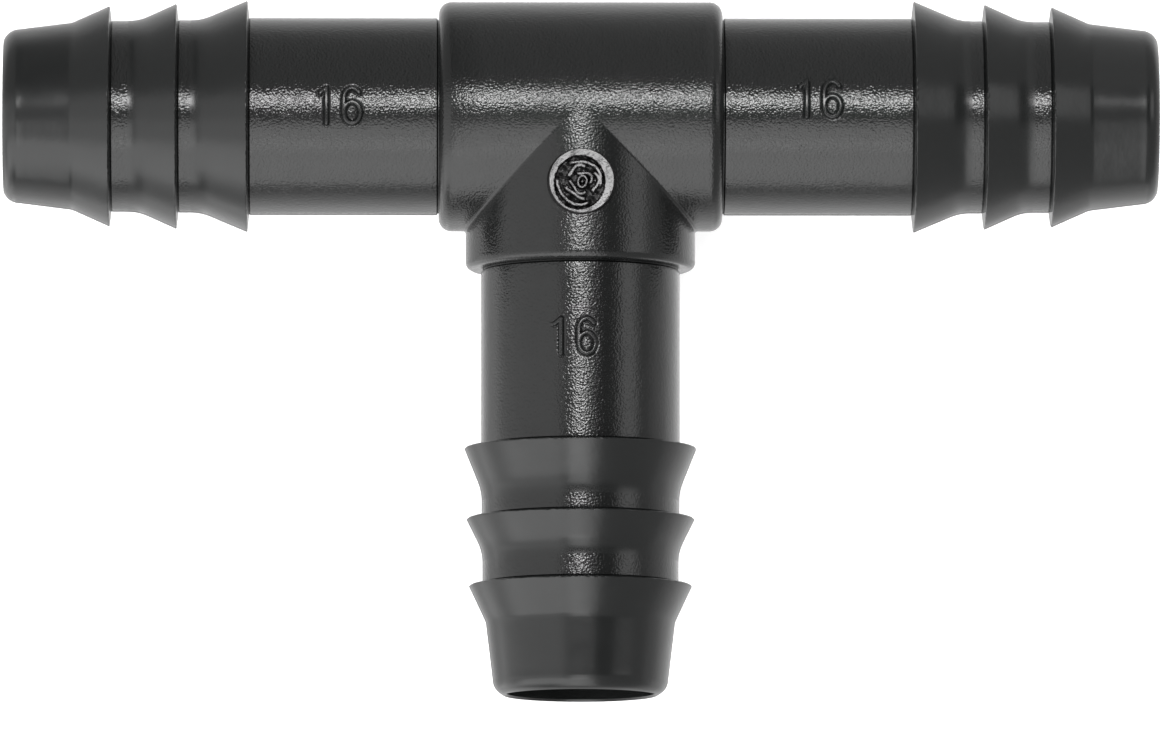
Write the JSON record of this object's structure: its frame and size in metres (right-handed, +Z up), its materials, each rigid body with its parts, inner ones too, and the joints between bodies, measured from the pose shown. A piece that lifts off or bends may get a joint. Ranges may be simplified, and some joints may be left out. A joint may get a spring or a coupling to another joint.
{
  "type": "barbed tee connector",
  "caption": "Black moulded tee for small irrigation pipe: a round hub with barbed hollow spigots at both ends of the run and on the branch.",
  "frame": {"origin": "on the table, below the middle of the tee's bounding box; the run's axis and the branch's axis cross at x 0, y +16.17 mm, z +8.02 mm", "axes": "+X along the run, -Y along the branch towards its open end, +Z up, normal to the plane of the run and the branch, towards the face that carries the round mark"},
  "size_m": [0.0802, 0.0484, 0.0161],
  "materials": {
    "black_plastic": "moulded polypropylene, fine orange peel on the hub and plain spigots, smoother on the barbs"
  },
  "bodies": {
    "root": {"hub": "black_plastic", "run_spigot_left": "black_plastic", "run_spigot_right": "black_plastic", "branch_spigot": "black_plastic"}
  },
  "joints": []
}
